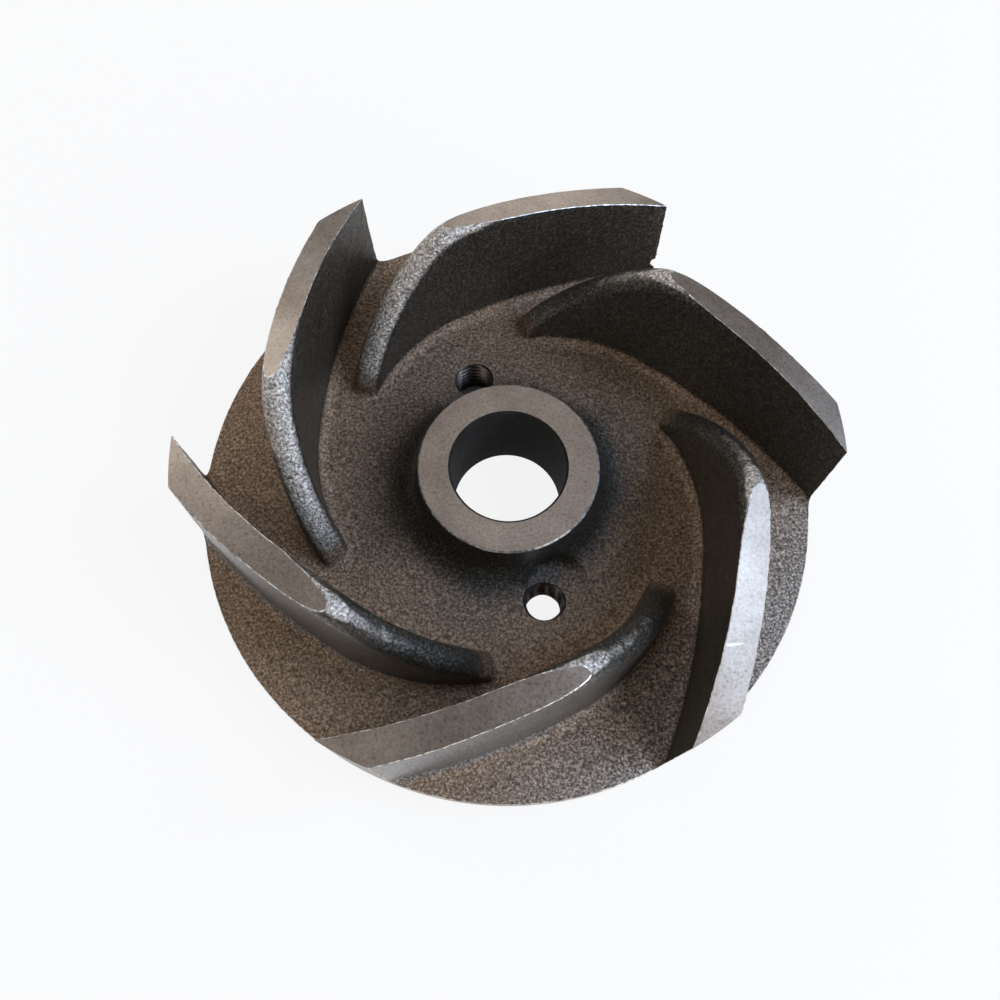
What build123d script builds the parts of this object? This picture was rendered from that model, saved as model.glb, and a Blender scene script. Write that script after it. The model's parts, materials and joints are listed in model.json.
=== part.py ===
from build123d import *
import os
from math import cos, pi, radians, sin, sqrt, tan

# Semi-open centrifugal pump impeller: one grey iron sand casting, part machined.
# Millimetres. The axis is Z, the flat face of the back boss is z = 0, and the
# vanes stand up towards +Z, the side the liquid enters from.

# ---- disc ----
outer_diameter = 139.7
rim_thickness = 5.0
back_boss_diameter = 76.0
back_boss_height = 4.5
back_boss_draft = 20.0
front_rise_angle = 4.0

# ---- hub ----
hub_diameter = 39.7
hub_face_above_rim = 14.85
hub_draft = 4.0
hub_root_radius = 9.0
hub_edge_chamfer = 0.3
bore_diameter = 25.4
bore_chamfer = 0.5

# ---- vanes ----
vane_count = 6
first_vane_angle = 6.6
vane_thickness = 6.26
vane_draft = 1.2
vane_exit_angle = 35.4
vane_outer_arc_radius = 140.0
vane_outer_arc_length = 47.5
vane_inner_arc_radius = 44.5
vane_length = 82.5
vane_root_radius = 2.6
vane_root_landing_angle = 12.0
least_root_share = 0.15
iron_under_vane_foot = 1.0

# ---- turned front of the vanes ----
vane_tip_height = 26.4
front_cone_angle = 21.2

# ---- as-cast leading edge of each vane ----
knee_distance = 49.5
knee_height = 34.3
knee_blend = 2.5
crest_rise = 0.13
nose_power = 0.68
section_count = 22
section_crowding = 1.5
ridge_facets = 4
root_facets = 3

# ---- tapped puller holes, each in a round cast flat ----
puller_hole_count = 2
puller_circle_diameter = 56.8
puller_hole_angle = -70.2
puller_tap_drill = 7.94
puller_thread_diameter = 9.525
puller_flat_diameter = 17.2
puller_flat_circle_diameter = 57.4
puller_flat_lead_angle = 7.1
puller_flat_above_rim = 2.4
puller_flat_corner = 2.0

# ---- casting ----
turning_allowance = 4.0

# ---- derived levels and radii ----
outer_radius = outer_diameter / 2
hub_radius = hub_diameter / 2
rim_back_level = back_boss_height
rim_level = rim_back_level + rim_thickness
hub_level = rim_level + hub_face_above_rim
blank_radius = outer_radius + turning_allowance
blank_hub_level = hub_level + turning_allowance / 2
puller_flat_level = rim_level + puller_flat_above_rim
vane_foot = iron_under_vane_foot - rim_thickness
nose_sink = rim_thickness / 2


def front_level(radius):
    """Height of the disc's gently coned front face at a radius."""
    return rim_level + (outer_radius - radius) * tan(radians(front_rise_angle))


def cone_level(radius):
    """Height of the turned cone across the vanes at a radius."""
    return rim_level + vane_tip_height + (outer_radius - radius) * tan(radians(front_cone_angle))


def make_disc():
    """Disc, hub and back boss of the raw casting, as one revolved profile."""
    hub_root = hub_radius + (blank_hub_level - front_level(hub_radius)) * tan(radians(hub_draft))
    boss_radius = back_boss_diameter / 2
    boss_root = boss_radius + back_boss_height * tan(radians(back_boss_draft))
    outline = Polyline(
        (0, 0),
        (boss_radius, 0),
        (boss_root, rim_back_level),
        (blank_radius, rim_back_level),
        (blank_radius, front_level(blank_radius)),
        (hub_root, front_level(hub_root)),
        (hub_radius - (blank_hub_level - hub_level) * tan(radians(hub_draft)), blank_hub_level),
        (0, blank_hub_level),
        close=True,
    )
    profile = make_face(outline)
    root_corner = profile.vertices().sort_by_distance((hub_root, front_level(hub_root), 0))[0]
    profile = fillet(root_corner, hub_root_radius)
    return revolve(Plane.XZ * profile, Axis.Z, 360)


def mean_line(distance):
    """Point and heading of a vane's mean line, at a distance along it from the rim.

    The line enters the disc at the exit angle and is two arcs in a row: a wide
    one behind the rim and a tighter one round the hub. It curls anticlockwise.
    """
    start_angle = radians(first_vane_angle)
    start_heading = start_angle + pi / 2 + radians(vane_exit_angle)
    bend_heading = start_heading + vane_outer_arc_length / vane_outer_arc_radius
    start_x = outer_radius * cos(start_angle)
    start_y = outer_radius * sin(start_angle)
    if distance <= vane_outer_arc_length:
        heading = start_heading + distance / vane_outer_arc_radius
        x = start_x + vane_outer_arc_radius * (sin(heading) - sin(start_heading))
        y = start_y - vane_outer_arc_radius * (cos(heading) - cos(start_heading))
        return x, y, heading
    bend_x = start_x + vane_outer_arc_radius * (sin(bend_heading) - sin(start_heading))
    bend_y = start_y - vane_outer_arc_radius * (cos(bend_heading) - cos(start_heading))
    heading = bend_heading + (distance - vane_outer_arc_length) / vane_inner_arc_radius
    x = bend_x + vane_inner_arc_radius * (sin(heading) - sin(bend_heading))
    y = bend_y - vane_inner_arc_radius * (cos(heading) - cos(bend_heading))
    return x, y, heading


def sharp_crest(distance):
    """Height of the cast ridge above the rim, before the knee is rounded."""
    if distance <= knee_distance:
        return knee_height + crest_rise * (knee_distance - distance)
    remaining = max(vane_length - distance, 0) / (vane_length - knee_distance)
    return (knee_height + nose_sink) * remaining ** nose_power - nose_sink


def crest(distance):
    """Height of the cast ridge above the rim: nearly level, a knee, then down to the nose."""
    spread = (-knee_blend, 0, knee_blend)
    return sum(sharp_crest(distance + step) for step in spread) / len(spread)


def arc_points(centre, radius, first_turn, last_turn, steps):
    """Points of an arc in a section, by its angle up from the outward direction."""
    turns = [first_turn + (last_turn - first_turn) * step / steps for step in range(steps + 1)]
    return [(centre[0] + radius * cos(turn), centre[1] + radius * sin(turn)) for turn in turns]


def vane_side(station, side, half, ridge):
    """One side of a vane section, outward and up: half the round ridge, wall, root fillet, foot.

    The fillet stops just short of tangent, so that it always cuts the disc's face.
    """
    toe = station.from_local_coords(Vector(side * (half + vane_root_radius), 0, 0))
    face = front_level(sqrt(toe.X ** 2 + toe.Y ** 2)) - rim_level
    share = (ridge - face) / (vane_thickness + vane_root_radius)
    root = vane_root_radius * min(max(share, least_root_share), 1)
    landing = radians(vane_root_landing_angle)
    shoulder = ridge - half
    root_top = min(face + root * cos(landing), shoulder - root)
    wall_foot = half + (shoulder - root_top) * tan(radians(vane_draft))
    ridge_arc = arc_points((0, shoulder), half, pi / 2, 0, ridge_facets)
    root_arc = arc_points((wall_foot + root, root_top), root, pi, 3 * pi / 2 - landing, root_facets)
    arc_out, arc_low = root_arc[-1]
    skirt = [(arc_out + root, arc_low - root * tan(landing)), (arc_out + root, vane_foot)]
    return [(side * out, up) for out, up in ridge_arc + root_arc + skirt]


def vane_section(distance):
    """Cross-section of the cast vane: drafted walls, a full round ridge, filleted roots.

    Towards the nose the ridge narrows, and the fillets shrink and sink with it.
    """
    x, y, heading = mean_line(distance)
    station = Plane(
        origin=(x, y, rim_level),
        x_dir=(-sin(heading), cos(heading), 0),
        z_dir=(cos(heading), sin(heading), 0),
    )
    half = vane_thickness / 2
    nose_gap = half - (vane_length - distance)
    if nose_gap > 0:
        half = sqrt(half ** 2 - nose_gap ** 2)
    hub_side = vane_side(station, 1, half, crest(distance))
    rim_side = vane_side(station, -1, half, crest(distance))
    outline = hub_side + rim_side[:0:-1]
    return station * make_face(Polyline(*outline, close=True))


def make_vane():
    """One cast vane, lofted through sections from beyond the rim to the nose.

    The sections crowd together towards the nose, where the form turns fastest.
    """
    overrun = 4 * turning_allowance
    run = vane_length + overrun
    sections = []
    for index in range(section_count):
        remaining = (1 - index / section_count) ** section_crowding
        sections.append(vane_section(vane_length - run * remaining))
    return loft(sections, ruled=True)


def make_casting():
    """The raw casting: the disc with its ring of vanes, before any cut."""
    casting = make_disc()
    for vane in PolarLocations(0, vane_count) * make_vane():
        casting += vane
    return casting


def make_turned_envelope():
    """All the room that the lathe leaves: rim, cone over the vanes, hub face, back face."""
    tool_gap = turning_allowance / 2
    outline = Polyline(
        (0, 0),
        (outer_radius, 0),
        (outer_radius, cone_level(outer_radius)),
        (hub_radius + tool_gap, cone_level(hub_radius + tool_gap)),
        (hub_radius + tool_gap, hub_level - hub_edge_chamfer - tool_gap),
        (hub_radius - hub_edge_chamfer, hub_level),
        (0, hub_level),
        close=True,
    )
    return revolve(Plane.XZ * make_face(outline), Axis.Z, 360)


def make_bore_tool():
    """Bore with a small chamfer at each mouth, as one revolved cutter."""
    radius = bore_diameter / 2
    wide = radius + bore_chamfer
    outline = Polyline(
        (0, -bore_chamfer),
        (wide, -bore_chamfer),
        (wide, 0),
        (radius, bore_chamfer),
        (radius, hub_level - bore_chamfer),
        (wide, hub_level),
        (wide, blank_hub_level),
        (0, blank_hub_level),
        close=True,
    )
    return revolve(Plane.XZ * make_face(outline), Axis.Z, 360)


def make_puller_tools():
    """Cutters of the puller holes: a shallow round flat, then the tapped hole through it."""
    flat_radius = puller_flat_diameter / 2
    drill_radius = puller_tap_drill / 2
    mouth_radius = puller_thread_diameter / 2
    countersink = mouth_radius - drill_radius
    flat = Cylinder(flat_radius, hub_level, align=(Align.CENTER, Align.CENTER, Align.MIN))
    floor_edge = flat.edges().group_by(Axis.Z)[0]
    flat = chamfer(floor_edge, puller_flat_corner)
    hole_outline = Polyline(
        (0, -countersink),
        (mouth_radius + countersink, -countersink),
        (drill_radius, countersink),
        (drill_radius, puller_flat_level - countersink),
        (mouth_radius + countersink, puller_flat_level + countersink),
        (0, puller_flat_level + countersink),
        close=True,
    )
    hole = revolve(Plane.XZ * make_face(hole_outline), Axis.Z, 360)

    flats = PolarLocations(
        puller_flat_circle_diameter / 2, puller_hole_count, puller_hole_angle + puller_flat_lead_angle
    )
    holes = PolarLocations(puller_circle_diameter / 2, puller_hole_count, puller_hole_angle)
    return flats * (Pos(0, 0, puller_flat_level) * flat) + holes * hole


def make_impeller():
    """The finished impeller: the casting turned, bored, and drilled for the puller screws."""
    impeller = make_casting() & make_turned_envelope()
    impeller -= make_bore_tool()
    for tool in make_puller_tools():
        impeller -= tool
    return impeller


os.makedirs("parts", exist_ok=True)
export_step(make_impeller(), "parts/impeller.step")
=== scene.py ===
import json
from math import acos, cos, pi, radians, sin, sqrt, tan

import bmesh
import bpy
import numpy as np
from mathutils import Matrix, Vector, noise


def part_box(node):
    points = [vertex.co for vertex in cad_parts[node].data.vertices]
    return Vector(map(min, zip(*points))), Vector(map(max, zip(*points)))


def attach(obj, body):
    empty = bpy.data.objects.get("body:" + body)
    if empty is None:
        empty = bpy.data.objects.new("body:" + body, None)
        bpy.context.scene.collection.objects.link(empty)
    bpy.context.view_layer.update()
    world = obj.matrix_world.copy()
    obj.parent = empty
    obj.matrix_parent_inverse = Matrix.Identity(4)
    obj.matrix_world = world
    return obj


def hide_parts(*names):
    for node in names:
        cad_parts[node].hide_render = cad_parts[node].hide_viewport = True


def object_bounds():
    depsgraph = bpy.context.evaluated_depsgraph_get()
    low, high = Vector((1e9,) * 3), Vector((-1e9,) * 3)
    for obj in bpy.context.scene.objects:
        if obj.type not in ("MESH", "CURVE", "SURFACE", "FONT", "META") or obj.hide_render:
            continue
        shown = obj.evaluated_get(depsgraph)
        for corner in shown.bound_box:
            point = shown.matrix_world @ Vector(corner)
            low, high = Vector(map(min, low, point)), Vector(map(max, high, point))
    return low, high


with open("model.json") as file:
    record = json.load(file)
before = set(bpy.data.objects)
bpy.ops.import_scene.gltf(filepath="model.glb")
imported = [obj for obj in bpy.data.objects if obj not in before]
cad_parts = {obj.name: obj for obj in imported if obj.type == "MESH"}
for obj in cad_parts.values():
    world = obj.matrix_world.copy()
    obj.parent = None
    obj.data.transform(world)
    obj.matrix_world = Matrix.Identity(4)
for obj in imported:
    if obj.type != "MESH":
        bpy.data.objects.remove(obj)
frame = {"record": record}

bpy.context.view_layer.update()
cad_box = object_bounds()

# ---------------------------------------------------------------------------
# The pattern: back disc and hub
# The disc is one swept profile with its hub and back boss, as the foundry's
# pattern is turned. It is a little oversize where the lathe will cut it.
# ---------------------------------------------------------------------------
mm = 0.001
outer_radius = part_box("impeller")[1].x
bore = next(m for m in frame["record"]["mounts"] if m["name"] == "shaft_bore")
boss_height = 4.5 * mm
rim_thickness = 5.0 * mm
boss_radius = 38.0 * mm
boss_draft = 20.0
boss_corner = 2.25 * mm
front_rise = 4.0
hub_radius = 19.85 * mm
hub_height = 14.85 * mm
hub_draft = 4.0
hub_root_radius = 9.0 * mm
turning_stock = 4.0 * mm
disc_facets = 240
boss_corner_facets = 8
hub_root_facets = 24

rim_level = boss_height + rim_thickness
hub_level = rim_level + hub_height
blank_radius = outer_radius + turning_stock
blank_hub_level = hub_level + turning_stock / 2


def front_level(radius):
    """Height of the disc's gently coned front at a radius."""
    return rim_level + (outer_radius - radius) * tan(radians(front_rise))


def rounded_corner(before, corner, after, radius, steps):
    """Points of an arc that rounds one corner of a profile."""
    before, corner, after = Vector(before), Vector(corner), Vector(after)
    way_in = (before - corner).normalized()
    way_out = (after - corner).normalized()
    half_angle = acos(way_in.dot(way_out)) / 2
    centre = corner + (way_in + way_out).normalized() * radius / sin(half_angle)
    reach = radius / tan(half_angle)
    first = corner + way_in * reach - centre
    turn = first.angle_signed(corner + way_out * reach - centre)
    return [tuple(centre + Matrix.Rotation(-turn * step / steps, 2) @ first) for step in range(steps + 1)]


def turned_mesh(name, profile, segments):
    """Closed mesh swept round the Z axis from a profile that starts and ends on it."""
    inner = profile[1:-1]
    angles = np.linspace(0, 2 * pi, segments, endpoint=False)
    radii = np.array([p[0] for p in inner])
    heights = np.array([p[1] for p in inner])
    ring = np.stack([np.outer(np.cos(angles), radii), np.outer(np.sin(angles), radii),
                     np.outer(np.ones(segments), heights)], axis=-1)
    points = [tuple(p) for p in ring.reshape(-1, 3)]
    first, last = len(points), len(points) + 1
    points += [(0, 0, profile[0][1]), (0, 0, profile[-1][1])]
    count = len(inner)
    faces = []
    for turn in range(segments):
        here = turn * count
        there = (turn + 1) % segments * count
        for step in range(count - 1):
            faces.append((here + step, there + step, there + step + 1, here + step + 1))
        faces.append((first, there, here))
        faces.append((here + count - 1, there + count - 1, last))
    mesh = bpy.data.meshes.new(name)
    mesh.from_pydata(points, [], faces)
    return mesh


hub_root = hub_radius + (blank_hub_level - front_level(hub_radius)) * tan(radians(hub_draft))
hub_top = hub_radius - (blank_hub_level - hub_level) * tan(radians(hub_draft))
boss_foot = boss_radius + boss_height * tan(radians(boss_draft))
root_corner = (hub_root, front_level(hub_root))
boss_root = (boss_foot, boss_height)
rim_front = (blank_radius, front_level(blank_radius))
rim_back = (blank_radius, boss_height)
hub_rim = (hub_top, blank_hub_level)
pattern_profile = [(0, -turning_stock / 2), (boss_radius, -turning_stock / 2), (boss_radius, 0)]
pattern_profile += rounded_corner((boss_radius, 0), boss_root, rim_back, boss_corner, boss_corner_facets)
pattern_profile += [rim_back, rim_front]
pattern_profile += rounded_corner(rim_front, root_corner, hub_rim, hub_root_radius, hub_root_facets)
pattern_profile += [hub_rim, (0, blank_hub_level)]
disc_pattern = turned_mesh("disc_pattern", pattern_profile, disc_facets)

# ---------------------------------------------------------------------------
# The pattern: vanes
# Six thick vanes stand on the disc and curl inwards, one after another round
# the hub. Each is a stack of cross-sections along its mean line, with drafted
# walls, a full round ridge and root fillets that run out onto the disc.
# ---------------------------------------------------------------------------
vane_count = 6
first_vane_angle = 6.6
vane_thickness = 6.26 * mm
vane_draft = 1.2
exit_angle = 35.4
outer_arc_radius = 140.0 * mm
outer_arc_length = 47.5 * mm
inner_arc_radius = 44.5 * mm
vane_length = 82.5 * mm
vane_root_radius = 2.6 * mm
least_root_share = 0.15
root_landing = 12.0
knee_distance = 49.5 * mm
knee_height = 34.3 * mm
knee_blend = 2.5 * mm
crest_rise = 0.13
nose_power = 0.68
nose_sink = rim_thickness / 2
vane_foot = 1.0 * mm - rim_thickness
vane_overrun = 4 * turning_stock
vane_sections = 90
nose_crowding = 1.6
ridge_facets = 10
root_facets = 8


def mean_line(distance):
    """Point and heading of a vane's mean line at a distance in from the rim."""
    start_angle = radians(first_vane_angle)
    start_heading = start_angle + pi / 2 + radians(exit_angle)
    x, y = outer_radius * cos(start_angle), outer_radius * sin(start_angle)
    first_run = min(distance, outer_arc_length)
    heading = start_heading + first_run / outer_arc_radius
    x += outer_arc_radius * (sin(heading) - sin(start_heading))
    y -= outer_arc_radius * (cos(heading) - cos(start_heading))
    bend_heading = heading
    heading += (distance - first_run) / inner_arc_radius
    x += inner_arc_radius * (sin(heading) - sin(bend_heading))
    y -= inner_arc_radius * (cos(heading) - cos(bend_heading))
    return x, y, heading


def crest(distance):
    """Height of the cast ridge above the rim: nearly level, a knee, then down to the nose."""
    heights = []
    for place in (distance - knee_blend, distance, distance + knee_blend):
        if place <= knee_distance:
            heights.append(knee_height + crest_rise * (knee_distance - place))
        else:
            remaining = max(vane_length - place, 0) / (vane_length - knee_distance)
            heights.append((knee_height + nose_sink) * remaining ** nose_power - nose_sink)
    return sum(heights) / len(heights)


def vane_wall(x, y, heading, side, half, ridge):
    """Points down one wall of a section: from the ridge through the root fillet to the buried foot."""
    shoulder = ridge - half
    across = Vector((-sin(heading), cos(heading))) * side
    toe = Vector((x, y)) + across * (half + vane_root_radius)
    face = front_level(toe.length) - rim_level
    share = (ridge - face) / (vane_thickness + vane_root_radius)
    root = vane_root_radius * min(max(share, least_root_share), 1)
    landing = radians(root_landing)
    root_top = min(face + root * cos(landing), shoulder - root)
    wall_foot = half + (shoulder - root_top) * tan(radians(vane_draft))
    flat = [(half * sin(turn), shoulder + half * cos(turn))
            for turn in np.linspace(0, pi / 2, ridge_facets + 1)]
    flat += [(wall_foot + root * (1 - cos(turn)), root_top - root * sin(turn))
             for turn in np.linspace(0, pi / 2 - landing, root_facets + 1)]
    arc_out, arc_low = flat[-1]
    flat += [(arc_out + root, arc_low - root * tan(landing)), (arc_out + root, vane_foot)]
    return [(x + across.x * out, y + across.y * out, rim_level + up) for out, up in flat]


def vane_mesh(name):
    """Closed mesh of one raw vane, from outside the rim to the tip of its nose.

    Its sections crowd towards the nose, where the ridge turns down.
    """
    points, faces = [], []
    for index in range(vane_sections):
        remaining = (1 - index / vane_sections) ** nose_crowding
        distance = vane_length - (vane_length + vane_overrun) * remaining
        x, y, heading = mean_line(distance)
        half = vane_thickness / 2
        nose_gap = half - (vane_length - distance)
        if nose_gap > 0:
            half = sqrt(half ** 2 - nose_gap ** 2)
        walls = [vane_wall(x, y, heading, side, half, crest(distance)) for side in (1, -1)]
        points += walls[0] + walls[1][:0:-1]
    count = len(points) // vane_sections
    for index in range(vane_sections - 1):
        for step in range(count):
            here, there = index * count, (index + 1) * count
            onward = (step + 1) % count
            faces.append((here + step, here + onward, there + onward, there + step))
    faces.append(tuple(range(count - 1, -1, -1)))
    faces.append(tuple(range(len(points) - count, len(points))))
    mesh = bpy.data.meshes.new(name)
    mesh.from_pydata(points, [], faces)
    return mesh


vane_patterns = []
for index in range(vane_count):
    pattern = vane_mesh(f"vane_pattern_{index + 1}")
    pattern.transform(Matrix.Rotation(index * 2 * pi / vane_count, 4, "Z"))
    vane_patterns.append(pattern)

# ---------------------------------------------------------------------------
# The casting: sand-cast grey iron
# Both puller holes get a shallow round flat, cast into the root of the hub.
# The iron then takes the skin of the sand mould: walls that wander a little,
# softened corners, and a pebbled surface.
# ---------------------------------------------------------------------------
puller_count = 2
puller_angle = -70.2
puller_circle_radius = 28.4 * mm
flat_circle_radius = 28.7 * mm
flat_lead_angle = 7.1
flat_radius = 8.6 * mm
flat_corner = 2.4 * mm
flat_level = rim_level + 2.4 * mm
flat_facets = 64
flat_corner_facets = 6
mould_voxel = 0.55 * mm
corner_softening = 0.5
softening_rounds = 4
wander = 0.14 * mm
wander_length = 17 * mm
pebble = 0.07 * mm
pebble_length = 3.2 * mm
pebble_softness = 0.9
pebble_step = 2.1
pebble_layers = 3
kept_faces = 0.33


def polar_places(count, radius, first_angle):
    """Places of a ring of equal features round the Z axis."""
    turns = [radians(first_angle + index * 360 / count) for index in range(count)]
    return [Matrix.Translation((radius * cos(turn), radius * sin(turn), 0)) for turn in turns]


def joined(name, parts):
    """One object from (mesh, placing) pairs."""
    bm = bmesh.new()
    for mesh, placing in parts:
        copy = mesh.copy()
        copy.transform(placing)
        bm.from_mesh(copy)
        bpy.data.meshes.remove(copy)
    mesh = bpy.data.meshes.new(name)
    bm.to_mesh(mesh)
    bm.free()
    piece = bpy.data.objects.new(name, mesh)
    bpy.context.scene.collection.objects.link(piece)
    return piece


def worked(piece, kind, **settings):
    """Puts one modifier on a piece and applies it."""
    modifier = piece.modifiers.new(kind.lower(), kind)
    for name, value in settings.items():
        setattr(modifier, name, value)
    bpy.context.view_layer.update()
    graph = bpy.context.evaluated_depsgraph_get()
    shaped = piece.evaluated_get(graph)
    mesh = bpy.data.meshes.new_from_object(shaped, preserve_all_data_layers=True, depsgraph=graph)
    piece.modifiers.remove(modifier)
    before, piece.data = piece.data, mesh
    bpy.data.meshes.remove(before)


def cut(piece, tool, operation):
    """Cuts a piece with a tool, or keeps what lies inside it, and clears the tool away.

    The cut faces take the tool's material.
    """
    worked(piece, "BOOLEAN", object=tool, operation=operation, solver="EXACT", material_mode="TRANSFER")
    bpy.data.objects.remove(tool)


def linear(sheet_colour):
    """Linear colour of an sRGB hex value."""
    parts = [int(sheet_colour[place:place + 2], 16) / 255 for place in (1, 3, 5)]
    return tuple(v / 12.92 if v <= 0.04045 else ((v + 0.055) / 1.055) ** 2.4 for v in parts) + (1,)


def add_node(tree, kind, settings=None, links=None, stops=()):
    """One node of a material: its settings, what is plugged into it, and a ramp's (place, hex) stops."""
    node = tree.nodes.new("ShaderNode" + kind)
    for name, value in (settings or {}).items():
        if isinstance(name, str) and hasattr(node, name):
            setattr(node, name, value)
        else:
            node.inputs[name].default_value = value
    for name, source in (links or {}).items():
        tree.links.new(source, node.inputs[name])
    for index, (place, sheet_colour) in enumerate(stops):
        stop = node.color_ramp.elements[index] if index < 2 else node.color_ramp.elements.new(place)
        stop.position = place
        stop.color = linear(sheet_colour)
    return node


def new_material(name):
    """Empty material with its node tree, its Principled shader and the position on the object."""
    material = bpy.data.materials.new(name)
    material.use_nodes = True
    tree = material.node_tree
    position = add_node(tree, "TexCoord").outputs["Object"]
    return material, tree, tree.nodes["Principled BSDF"], position


def about_the_axis(tree, position):
    """Height of a position, the vector out to it from the Z axis, and how long that is."""
    axes = add_node(tree, "SeparateXYZ", links={"Vector": position}).outputs
    outward = add_node(tree, "CombineXYZ", links={"X": axes["X"], "Y": axes["Y"]}).outputs[0]
    distance = add_node(tree, "VectorMath", {"operation": "LENGTH"}, {0: outward}).outputs["Value"]
    return axes["Z"], outward, distance


# Sand-cast skin of grey iron: grains of coarse moulding sand print small
# rounded lumps, pale brown with oxide where they stand out and dark between
# them, so the surface looks speckled and glints a little at a slant.
noise_lump = 0.5  # share of a noise's period that one of its lumps takes
grain_width = 0.3 * mm
grain_height = 0.12 * mm
lump_width = 0.8 * mm
patch_width = 14 * mm
skin_colours = {
    "oxide": ((0.34, "#45352a"), (0.5, "#876f59"), (0.66, "#c4a98f")),
    # The dark mould skin, also painted near the hub as painted shade.
    "soot_and_shade": ((0.34, "#211e1a"), (0.5, "#3c3730"), (0.66, "#716a5f")),
    # A lighter grey, painted on outward walls near the rim as painted light thrown up from the white
    # floor.
    "floor_light_grey": ((0.34, "#42403e"), (0.5, "#736e6a"), (0.66, "#b2aca6")),
    # A lighter grey, painted on the disc's lower-right side as a painted sheen.
    "sheen_grey": ((0.36, "#3d352f"), (0.5, "#85796e"), (0.64, "#d8c8ba")),
    # The brightest iron, used only for painted highlights on the ridges.
    "painted_highlight": ((0.36, "#504a45"), (0.5, "#ada399"), (0.64, "#f4ebe1")),
}
cast_skin, tree, shader, position = new_material("sand_cast_iron_skin")
grain = add_node(tree, "TexNoise", {"Scale": noise_lump / grain_width, "Detail": 4.0, "Roughness": 0.72},
                 {"Vector": position}).outputs["Fac"]
lumps = add_node(tree, "TexVoronoi", {"feature": "SMOOTH_F1", "Scale": 1 / lump_width, "Smoothness": 0.5},
                 {"Vector": position}).outputs["Distance"]
patches = add_node(tree, "TexNoise", {"Scale": noise_lump / patch_width, "Detail": 4.0, "Roughness": 0.6},
                   {"Vector": position}).outputs["Fac"]
relief = add_node(tree, "Math", {"operation": "MULTIPLY_ADD", 1: -0.5}, {0: lumps, 2: grain}).outputs[0]
colours = {name: add_node(tree, "ValToRGB", links={"Fac": grain}, stops=stops).outputs["Color"]
           for name, stops in skin_colours.items()}

# Where the skin changes, by how the surface lies and where it is: steep walls
# and the tops of the vanes keep the black of the mould, and the open disc is
# brown. Round the hub the disc is darkened as painted shade. The rest is
# painted light: outward walls near the rim are painted lighter for light off the
# white floor, the crests and the upper-left ridges get painted highlights, and
# the disc's lower-right side gets a painted grey sheen.
# The ridges on the upper-left side are painted bright, where light from the left falls on them.
left_light_way = (-0.86, 0.5, 0.0)
# The disc's lower-right side is painted lighter and greyer as a painted sheen.
sheen_way = (0.77, -0.64, 0.0)
disc_raggedness = 30 * mm
foot_raggedness = 24 * mm
normal = add_node(tree, "TexCoord").outputs["Normal"]
facing_up = add_node(tree, "SeparateXYZ", links={"Vector": normal}).outputs["Z"]
height, outward, from_axis = about_the_axis(tree, position)
outward = add_node(tree, "VectorMath", {"operation": "NORMALIZE"}, {0: outward}).outputs[0]
facing_out = add_node(tree, "VectorMath", {"operation": "DOT_PRODUCT"}, {0: normal, 1: outward})
to_left_light = add_node(tree, "VectorMath", {"operation": "DOT_PRODUCT", 1: left_light_way}, {0: position})
to_sheen = add_node(tree, "VectorMath", {"operation": "DOT_PRODUCT", 1: sheen_way}, {0: position})
uneven = add_node(tree, "MapRange", {"To Min": -0.25, "To Max": 0.25}, {"Value": patches}).outputs[0]
disc_edge = add_node(tree, "Math", {"operation": "MULTIPLY_ADD", 1: disc_raggedness},
                     {0: uneven, 2: from_axis})
foot_edge = add_node(tree, "Math", {"operation": "MULTIPLY_ADD", 1: foot_raggedness},
                     {0: uneven, 2: from_axis})
rises = {
    "upper": (height, 14 * mm, 19 * mm),
    "off_the_hub": (from_axis, 32 * mm, 40 * mm),
    "outer_part": (from_axis, 47 * mm, 60 * mm),
    "steep": (facing_up, 0.6, 0.2),
    "crest_line": (facing_up, 0.72, 0.83),
    "broad_crest": (facing_up, 0.25, 0.6),
    "outward": (facing_out.outputs["Value"], 0.35, 0.9),
    "left_lit_side": (to_left_light.outputs["Value"], 6 * mm, 34 * mm),
    "sheen_side": (to_sheen.outputs["Value"], 34 * mm, 66 * mm),
    # The disc darkens towards the hub and round the hub's foot: painted shade.
    "out_of_hub_shade": (disc_edge.outputs[0], 24 * mm, 46 * mm),
    "hub_foot_shade": (foot_edge.outputs[0], 30 * mm, 23 * mm),
}
share = {}
for name, (measure, none_at, all_at) in rises.items():
    rise = {"interpolation_type": "SMOOTHSTEP", "From Min": none_at, "From Max": all_at}
    share[name] = add_node(tree, "MapRange", rise, {"Value": measure}).outputs[0]
overlaps = {
    # Outward walls near the rim: painted light from the white floor.
    "floor_lit_wall": ("outward", "outer_part"),
    # Top of each ridge's crest: a painted highlight.
    "ridge": ("upper", "crest_line", "off_the_hub"),
    # Broad ridges on the upper-left side: painted light.
    "left_lit_ridge": ("upper", "broad_crest", "left_lit_side"),
}
for name, (first, *others) in overlaps.items():
    share[name] = share[first]
    for other in others:
        both = {0: share[name], 1: share[other]}
        share[name] = add_node(tree, "Math", {"operation": "MULTIPLY"}, both).outputs[0]

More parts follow.
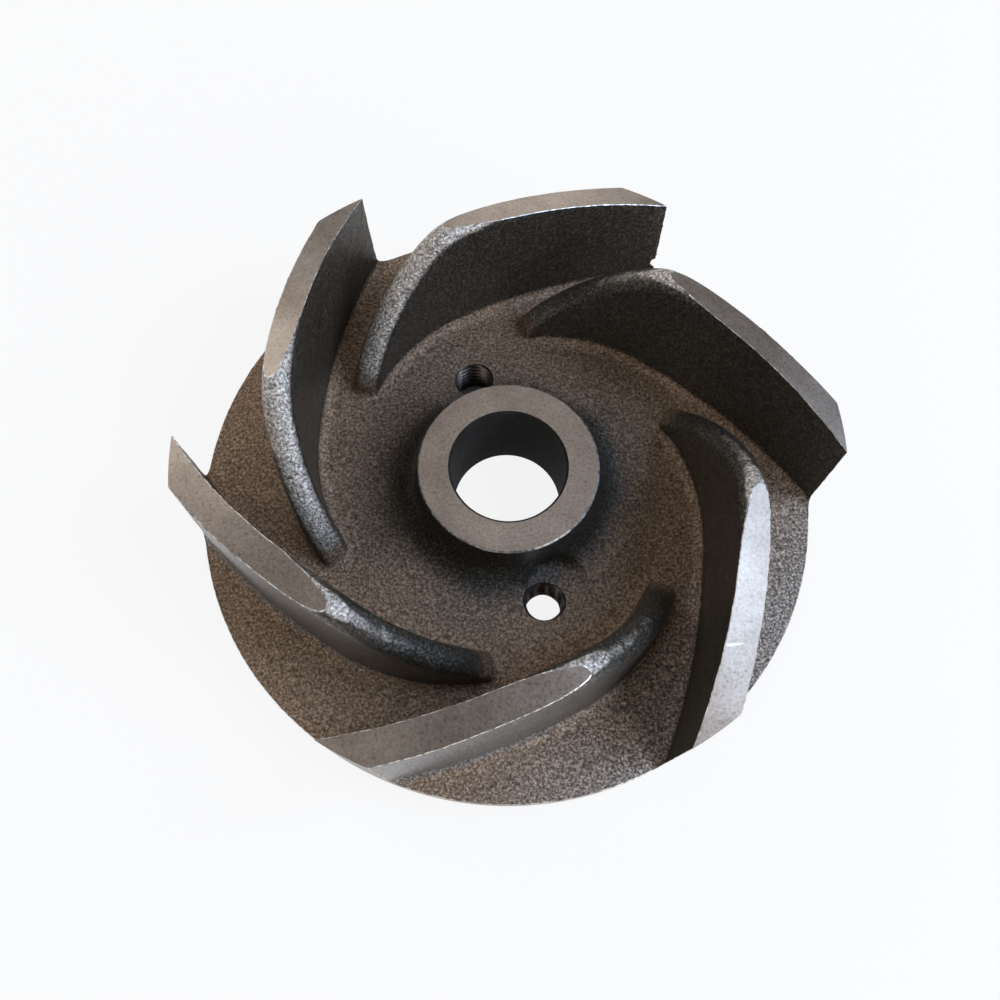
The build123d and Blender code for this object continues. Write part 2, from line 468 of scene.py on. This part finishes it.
# The colours lie over one another in this order.
layers = [
    (patches, "oxide"),
    (share["out_of_hub_shade"], "oxide"),
    (share["sheen_side"], "sheen_grey"),
    (share["upper"], "soot_and_shade"),
    (share["hub_foot_shade"], "soot_and_shade"),
    (share["steep"], "soot_and_shade"),
    (share["floor_lit_wall"], "floor_light_grey"),
    (share["ridge"], "painted_highlight"),
    (share["left_lit_ridge"], "painted_highlight"),
]
tint = colours["soot_and_shade"]
for factor, name in layers:
    over = {"Factor": factor, 6: tint, 7: colours[name]}
    tint = add_node(tree, "Mix", {"data_type": "RGBA"}, over).outputs[2]
smooth = share["steep"]
for name in ("upper", "hub_foot_shade"):
    smooth = add_node(tree, "Math", {"operation": "MAXIMUM"}, {0: smooth, 1: share[name]}).outputs[0]
gloss = add_node(tree, "MapRange", {"To Min": 0.62, "To Max": 0.36}, {"Value": smooth}).outputs[0]
print_depth = add_node(tree, "MapRange", {"To Min": 1.0, "To Max": 0.45}, {"Value": share["steep"]})
bump = add_node(tree, "Bump", {"Distance": 2 * grain_height},
                {"Height": relief, "Strength": print_depth.outputs[0]})
tree.links.new(tint, shader.inputs["Base Color"])
tree.links.new(gloss, shader.inputs["Roughness"])
tree.links.new(bump.outputs["Normal"], shader.inputs["Normal"])
shader.inputs["Metallic"].default_value = 0.5

flat_floor = [(0, flat_level)]
flat_edge = (flat_radius, flat_level)
flat_wall = (flat_radius, hub_level)
flat_floor += rounded_corner((0, flat_level), flat_edge, flat_wall, flat_corner, flat_corner_facets)
flat_floor += [flat_wall, (0, hub_level)]
flat_mesh = turned_mesh("puller_flat", flat_floor, flat_facets)
flat_places = polar_places(puller_count, flat_circle_radius, puller_angle + flat_lead_angle)

impeller = joined("impeller_pattern", [(disc_pattern, Matrix())])
cut(impeller, joined("puller_flats", [(flat_mesh, place) for place in flat_places]), "DIFFERENCE")
impeller_pattern = [(impeller.data, Matrix())] + [(pattern, Matrix()) for pattern in vane_patterns]
casting = joined("impeller_casting", impeller_pattern)
casting.data.materials.append(cast_skin)
bpy.data.objects.remove(impeller)
worked(casting, "REMESH", mode="VOXEL", voxel_size=mould_voxel)
worked(casting, "SMOOTH", factor=corner_softening, iterations=softening_rounds)


def skin_height(place):
    """How far the sand mould's skin stands off the pattern at a place."""
    slow = noise.noise(place / wander_length)
    fine = noise.fractal(place / pebble_length, pebble_softness, pebble_step, pebble_layers)
    return wander * slow + pebble * fine


skin = casting.data
places = np.empty(len(skin.vertices) * 3)
normals = np.empty(len(skin.vertices) * 3)
skin.vertices.foreach_get("co", places)
skin.vertex_normals.foreach_get("vector", normals)
heights = [skin_height(Vector(place)) for place in places.reshape(-1, 3)]
moved = places + normals * np.repeat(heights, 3)
moved[2::3] = np.minimum(moved[2::3], cad_box[1].z)
skin.vertices.foreach_set("co", moved)
skin.update()
worked(casting, "DECIMATE", ratio=kept_faces)

# ---------------------------------------------------------------------------
# The machining: turned, bored, drilled and tapped
# The lathe takes the rim, one cone across all the vanes, the hub's face, the
# back boss and the bore. The two puller holes are drilled through and tapped.
# ---------------------------------------------------------------------------
vane_tip_height = 26.4 * mm
cone_angle = 21.2
tool_gap = 2.0 * mm
edge_break = 0.3 * mm
bore_chamfer = 0.5 * mm
bore_radius = bore["dims"]["r_mm"] * mm
tap_drill_radius = 3.97 * mm
thread_radius = 4.76 * mm
thread_pitch = 1.5875 * mm
thread_flat = 0.1  # share of a thread's flank that is flat at its root and at its crest
lower_countersink = 2 * thread_pitch
upper_countersink = 0.3 * thread_pitch
tap_reach_below = 1 * mm
tap_reach_above = 3 * mm
tap_facets = 48
tap_rows_per_turn = 10
lathe_facets = 360
bore_facets = 120

# Turned grey iron: satin grey-brown metal with fine tool rings round the axis
# and open specks where the cutter pulled graphite out.
ring_pitch = 0.32 * mm
speck_width = 0.32 * mm
stain_width = 6 * mm
tool_mark_height = 0.03 * mm
turned_iron, tree, shader, position = new_material("turned_grey_iron")
height, outward, from_axis = about_the_axis(tree, position)
ring_place = add_node(tree, "CombineXYZ", links={"X": from_axis, "Z": height}).outputs[0]
rings = add_node(tree, "TexNoise", {"Scale": noise_lump / ring_pitch, "Detail": 2.0},
                 {"Vector": ring_place}).outputs["Fac"]
specks = add_node(tree, "TexNoise", {"Scale": noise_lump / speck_width, "Detail": 2.0, "Roughness": 0.7},
                  {"Vector": position}).outputs["Fac"]
stains = add_node(tree, "TexNoise", {"Scale": noise_lump / stain_width, "Detail": 5.0, "Roughness": 0.65},
                  {"Vector": position}).outputs["Fac"]
metal = add_node(tree, "ValToRGB", links={"Fac": stains}, stops=((0.3, "#92867c"), (0.7, "#b0a59b")))
pore_colours = ((0.24, "#7d746c"), (0.33, "#dcd7d2"), (0.5, "#f3f0ed"), (0.62, "#ffffff"))
pores = add_node(tree, "ValToRGB", links={"Fac": specks}, stops=pore_colours)
pitted = add_node(tree, "Mix", {"data_type": "RGBA", "blend_type": "MULTIPLY", "Factor": 1.0},
                  {6: metal.outputs["Color"], 7: pores.outputs["Color"]}).outputs[2]

# A knock has dragged short bright scratches across the turned top of one vane.
scratch_place = tuple(v * mm for v in (43.9, -37.6, 40.0))
scratch_reach = 3.4 * mm
scratch_core = 2.2 * mm
scratch_width = 0.35 * mm
scratch_angle = 14.0
scratch_stretch = (12, 1, 40)
from_scratch = add_node(tree, "VectorMath", {"operation": "DISTANCE", 1: scratch_place}, {0: position})
near_scratch = add_node(tree, "MapRange", {"From Min": scratch_reach, "From Max": scratch_core},
                        {"Value": from_scratch.outputs["Value"]}).outputs[0]
drag = {"vector_type": "TEXTURE", "Rotation": (0, 0, radians(scratch_angle)), "Scale": scratch_stretch}
drag_place = add_node(tree, "Mapping", drag, {"Vector": position}).outputs[0]
drags = add_node(tree, "TexNoise", {"Scale": noise_lump / scratch_width, "Detail": 1.0},
                 {"Vector": drag_place}).outputs["Fac"]
drags = add_node(tree, "MapRange", {"From Min": 0.6, "From Max": 0.68}, {"Value": drags}).outputs[0]
scratched = add_node(tree, "Math", {"operation": "MULTIPLY"}, {0: near_scratch, 1: drags}).outputs[0]
tint = add_node(tree, "Mix", {"data_type": "RGBA", 7: linear("#dedad6")}, {"Factor": scratched, 6: pitted})
gloss = add_node(tree, "MapRange", {"To Min": 0.36, "To Max": 0.5}, {"Value": specks})
marks = add_node(tree, "Math", {"operation": "ADD"}, {0: rings, 1: specks}).outputs[0]
bump = add_node(tree, "Bump", {"Strength": 0.6, "Distance": tool_mark_height}, {"Height": marks})
tree.links.new(tint.outputs[2], shader.inputs["Base Color"])
tree.links.new(gloss.outputs[0], shader.inputs["Roughness"])
tree.links.new(bump.outputs["Normal"], shader.inputs["Normal"])
shader.inputs["Metallic"].default_value = 1.0

# Bevel iron: the thin corner left where the lathe's cut meets the cast skin,
# painted bright as a highlight, so it draws a fine bright line round every turned face.
nick_width = 0.5 * mm
glint_edge_iron, tree, shader, position = new_material("bevel_edge_painted_glint")
nicks = add_node(tree, "TexNoise", {"Scale": noise_lump / nick_width, "Detail": 3.0},
                 {"Vector": position}).outputs["Fac"]
tint = add_node(tree, "ValToRGB", links={"Fac": nicks}, stops=((0.4, "#8f877f"), (0.6, "#e8e2dc")))
tree.links.new(tint.outputs["Color"], shader.inputs["Base Color"])
shader.inputs["Metallic"].default_value = 0.85
shader.inputs["Roughness"].default_value = 0.42

# Bored iron: a film of cutting oil and iron dust covers the metal, so it is a
# dull brown-black that gives back very little light.
streak_width = 2 * mm
# This finish is also put into the threads' grooves as painted shade.
oil_and_groove_shade_iron, tree, shader, position = new_material("oiled_bore_and_groove_shade")
streaks = add_node(tree, "TexNoise", {"Scale": noise_lump / streak_width, "Detail": 5.0, "Roughness": 0.7},
                   {"Vector": position}).outputs["Fac"]
tint = add_node(tree, "ValToRGB", links={"Fac": streaks}, stops=((0.35, "#171513"), (0.7, "#2b2825")))
tree.links.new(tint.outputs["Color"], shader.inputs["Base Color"])
shader.inputs["Metallic"].default_value = 0.0
shader.inputs["Roughness"].default_value = 0.85
shader.inputs["Specular IOR Level"].default_value = 0.2

# Tapped iron: freshly cut crests of the threads, bright between grooves that
# look as dark as the bore; the grooves take the bore's dark finish as painted shade.
tapped_iron, tree, shader, position = new_material("tapped_iron_thread")
shader.inputs["Base Color"].default_value = linear("#756b63")
shader.inputs["Metallic"].default_value = 1.0
shader.inputs["Roughness"].default_value = 0.36


def cone_level(radius):
    """Height of the turned cone across the vanes at a radius."""
    return rim_level + vane_tip_height + (outer_radius - radius) * tan(radians(cone_angle))


def tap_mesh(name, low, high):
    """Closed mesh of the tap: a thread's ridge winding up a core, with a countersink at each mouth."""
    lower_mouth = low + lower_countersink
    upper_mouth = flat_level - upper_countersink
    rows = int((high - low) / thread_pitch * tap_rows_per_turn)
    points, faces = [], []
    for row in range(rows + 1):
        height = low + (high - low) * row / rows
        mouth = max(lower_mouth - height, height - upper_mouth, 0)
        for step in range(tap_facets):
            turn = step / tap_facets
            phase = (height / thread_pitch - turn) % 1
            groove = (2 * abs(phase - 0.5) - thread_flat) / (1 - 2 * thread_flat)
            groove = min(max(groove, 0), 1)
            radius = tap_drill_radius + (thread_radius - tap_drill_radius) * (1 - groove)
            radius = max(radius, min(tap_drill_radius + mouth, thread_radius))
            points.append((radius * cos(2 * pi * turn), radius * sin(2 * pi * turn), height))
    for row in range(rows):
        here, above = row * tap_facets, (row + 1) * tap_facets
        for step in range(tap_facets):
            onward = (step + 1) % tap_facets
            faces.append((here + step, here + onward, above + onward, above + step))
    faces.append(tuple(range(tap_facets - 1, -1, -1)))
    faces.append(tuple(range(rows * tap_facets, (rows + 1) * tap_facets)))
    mesh = bpy.data.meshes.new(name)
    mesh.from_pydata(points, [], faces)
    return mesh


turned_room = [
    (0, 0),
    (outer_radius, 0),
    (outer_radius, cone_level(outer_radius)),
    (hub_radius + tool_gap, cone_level(hub_radius + tool_gap)),
    (hub_radius + tool_gap, hub_level - edge_break - tool_gap),
    (hub_radius - edge_break, hub_level),
    (0, hub_level),
]
bore_cut = [
    (0, -bore_chamfer),
    (bore_radius + 2 * bore_chamfer, -bore_chamfer),
    (bore_radius, bore_chamfer),
    (bore_radius, hub_level - bore_chamfer),
    (bore_radius + 2 * bore_chamfer, hub_level + bore_chamfer),
    (0, hub_level + bore_chamfer),
]
lathe = joined("turned_room", [(turned_mesh("turned_room", turned_room, lathe_facets), Matrix())])
boring_bar = joined("bore_cut", [(turned_mesh("bore_cut", bore_cut, bore_facets), Matrix())])
tap = tap_mesh("tap", -tap_reach_below, flat_level + tap_reach_above)
groove_radius = (tap_drill_radius + thread_radius) / 2
# Faces in the threads' grooves, which get painted shade.
shaded_tap_roots = [face.index for face in tap.polygons if face.center.xy.length > groove_radius]
shaded_tap_roots = [len(tap.polygons) * index + face for index in range(puller_count) for face in shaded_tap_roots]
tap_places = polar_places(puller_count, puller_circle_radius, puller_angle)
taps = joined("taps", [(tap, place) for place in tap_places])
tool_finishes = [
    (lathe, (turned_iron, glint_edge_iron)),
    (boring_bar, (oil_and_groove_shade_iron,)),
    (taps, (tapped_iron, oil_and_groove_shade_iron)),
]
for tool, finishes in tool_finishes:
    for finish in finishes:
        tool.data.materials.append(finish)

# The corner round the hub's face takes the painted highlight of the bevel
# finish, and the grooves of the threads take painted shade.
for face in lathe.data.polygons:
    if hub_level - edge_break - tool_gap < face.center.z < hub_level:
        face.material_index = 1
for face in shaded_tap_roots:
    taps.data.polygons[face].material_index = 1
cut(casting, lathe, "INTERSECT")
cut(casting, boring_bar, "DIFFERENCE")
cut(casting, taps, "DIFFERENCE")

# A knock has chipped the outer edge of one vane's tip, and the break shows the
# same rough iron as the skin.
chip_angle = 61.3
chip_level = 14.7 * mm
chip_radius = 2.1 * mm
chip_depth = 1.0 * mm
chip_unevenness = 0.35
chip_lump = chip_radius / 1.7
chip_mesh = bpy.data.meshes.new("chip")
chip = bmesh.new()
bmesh.ops.create_icosphere(chip, subdivisions=2, radius=chip_radius)
for vertex in chip.verts:
    vertex.co *= 1 + chip_unevenness * noise.noise(vertex.co / chip_lump)
chip.to_mesh(chip_mesh)
chip.free()
chip_mesh.materials.append(cast_skin)
chip_place = Vector((outer_radius + chip_radius - chip_depth, 0, chip_level))
chip_place = Matrix.Rotation(radians(chip_angle), 4, "Z") @ Matrix.Translation(chip_place)
cut(casting, joined("chip", [(chip_mesh, chip_place)]), "DIFFERENCE")


def cut_borders(edges, finishes):
    """Edges where the cast skin meets the turned iron."""
    sides = {finishes.index(cast_skin), finishes.index(turned_iron)}
    return [edge for edge in edges if {face.material_index for face in edge.link_faces} == sides]


# The bevel with its painted highlight is narrow and runs all round each turned
# face. Borders between finishes and sharp corners are shaded crisp, the rest is smooth.
glint_bevel_width = 0.16 * mm
crisp_angle = 35.0
casting.name = "impeller_visual"
casting.data.shade_smooth()
finishes = list(casting.data.materials)
form = bmesh.new()
form.from_mesh(casting.data)
bmesh.ops.dissolve_degenerate(form, dist=glint_bevel_width / 3, edges=cut_borders(form.edges, finishes))
bmesh.ops.bevel(form, geom=cut_borders(form.edges, finishes), offset=glint_bevel_width, segments=1,
                affect="EDGES", material=finishes.index(glint_edge_iron))
for vertex in form.verts:
    vertex.co.z = min(vertex.co.z, cad_box[1].z)
for edge in form.edges:
    edge_finishes = {face.material_index for face in edge.link_faces}
    if len(edge_finishes) > 1 or edge.calc_face_angle(0) > radians(crisp_angle):
        edge.smooth = False
form.to_mesh(casting.data)
form.free()
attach(casting, "root")
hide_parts("impeller")

# ---------------------------------------------------------------------------
# The studio: pale floor, soft lights and the camera
# Square diffused lamps stand round the casting, which lies on a floor painted
# white. The strongest is a window on its right, a little blue.
# ---------------------------------------------------------------------------
lamp_distance = 800 * mm
lamp_aim = Vector((0, 0, 20)) * mm


def light_box(name, azimuth, elevation, width, power, tint):
    """Soft square lamp at a compass angle and a height angle round the object, facing it."""
    lamp = bpy.data.lights.new(name, "AREA")
    lamp.size = width
    lamp.energy = power
    lamp.color = linear(tint)[:3]
    level, turn = radians(elevation), radians(azimuth)
    away = Vector((cos(level) * cos(turn), cos(level) * sin(turn), sin(level)))
    holder = bpy.data.objects.new(name, lamp)
    holder.location = lamp_aim + away * lamp_distance
    holder.rotation_euler = away.to_track_quat("Z", "Y").to_euler()
    bpy.context.scene.collection.objects.link(holder)


light_box("window_right", 0, 45, 0.45, 5.2, "#c2dcff")
light_box("low_panel_right", -45, 18, 0.45, 3.0, "#eef4ff")
light_box("panel_left", 150, 28, 0.5, 1.65, "#ffffff")
light_box("panel_front", -135, 27, 0.45, 0.8, "#ffffff")
light_box("low_panel_back", 90, 18, 0.45, 0.8, "#ffffff")
light_box("skylight", 90, 70, 0.45, 0.4, "#fff8f4")

world = bpy.data.worlds.new("studio_room")
bpy.context.scene.world = world
world.use_nodes = True
backdrop = world.node_tree.nodes["Background"]
backdrop.inputs["Color"].default_value = linear("#b8b8b8")
backdrop.inputs["Strength"].default_value = 0.45

# White floor paint, flat and even. It reads as white wherever it is looked at,
# except in the shade under the rear puller hole, where no light comes in.
floor_reach = 3.0
floor_whiteness = 0.88
shade_radius = 8 * mm
shade_end = 12 * mm
floor_corners = [(x * floor_reach, y * floor_reach, 0) for x, y in ((-1, -1), (1, -1), (1, 1), (-1, 1))]
floor_mesh = bpy.data.meshes.new("floor")
floor_mesh.from_pydata(floor_corners, [], [(0, 1, 2, 3)])
floor = bpy.data.objects.new("floor", floor_mesh)
bpy.context.scene.collection.objects.link(floor)
floor_paint, tree, shader, position = new_material("white_floor_paint")
shader.inputs["Base Color"].default_value = linear("#e6e6e6")
shader.inputs["Roughness"].default_value = 0.9
rays = add_node(tree, "LightPath").outputs
seen = rays["Is Camera Ray"]
for kind in ("Is Transmission Ray", "Is Glossy Ray"):
    seen = add_node(tree, "Math", {"operation": "MAXIMUM"}, {0: seen, 1: rays[kind]}).outputs[0]
shade_place = tap_places[1].translation
from_shade = add_node(tree, "VectorMath", {"operation": "DISTANCE", 1: shade_place}, {0: position})
lit = {"From Min": shade_radius, "From Max": shade_end, "To Max": floor_whiteness}
lit_share = add_node(tree, "MapRange", lit, {"Value": from_shade.outputs["Value"]}).outputs[0]
seen = add_node(tree, "Math", {"operation": "MULTIPLY"}, {0: seen, 1: lit_share}).outputs[0]
glow = add_node(tree, "Emission", {"Color": (1, 1, 1, 1), "Strength": 1.0}).outputs[0]
paint = add_node(tree, "MixShader", links={0: seen, 1: shader.outputs[0], 2: glow}).outputs[0]
tree.links.new(paint, tree.nodes["Material Output"].inputs["Surface"])
floor_mesh.materials.append(floor_paint)

camera_place = Vector((0.98, -79.97, 215.55)) * mm
camera_aim = Vector((-1.57, -2.57, 9.5)) * mm
camera_roll = -1.53
camera = bpy.data.objects.new("camera", bpy.data.cameras.new("camera"))
camera.data.sensor_width = 36.0
camera.data.lens = 34.19
camera.data.clip_start = 0.01
camera.location = camera_place
gaze = (camera_aim - camera_place).to_track_quat("-Z", "Y").to_matrix()
camera.rotation_euler = (gaze @ Matrix.Rotation(-radians(camera_roll), 3, "Z")).to_euler()
bpy.context.scene.collection.objects.link(camera)
bpy.context.scene.camera = camera
bpy.context.scene.view_settings.view_transform = "Standard"

bpy.context.view_layer.update()
